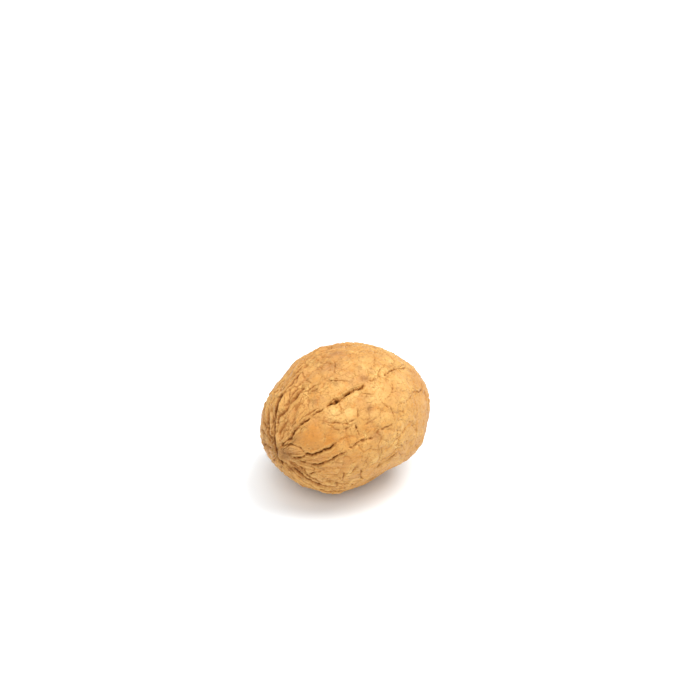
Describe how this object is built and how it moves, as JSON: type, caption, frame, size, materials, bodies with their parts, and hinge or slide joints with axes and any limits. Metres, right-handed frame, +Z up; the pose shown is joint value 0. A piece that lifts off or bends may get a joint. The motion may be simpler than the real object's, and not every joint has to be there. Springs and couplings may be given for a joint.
{
  "type": "walnut",
  "caption": "Closed oval walnut in its shell: raised seam through both ends, furrowed and dimpled surface, resting on a small flat spot.",
  "frame": {"origin": "on the resting surface, under the middle of the walnut's box", "axes": "+Z up, +Y along the long axis towards the stem end, pointed tip at -Y, +X towards the middle of one half shell"},
  "size_m": [0.035, 0.041, 0.031],
  "materials": {
    "shell": "satin"
  },
  "bodies": {
    "root": {"walnut": "shell"}
  },
  "joints": []
}
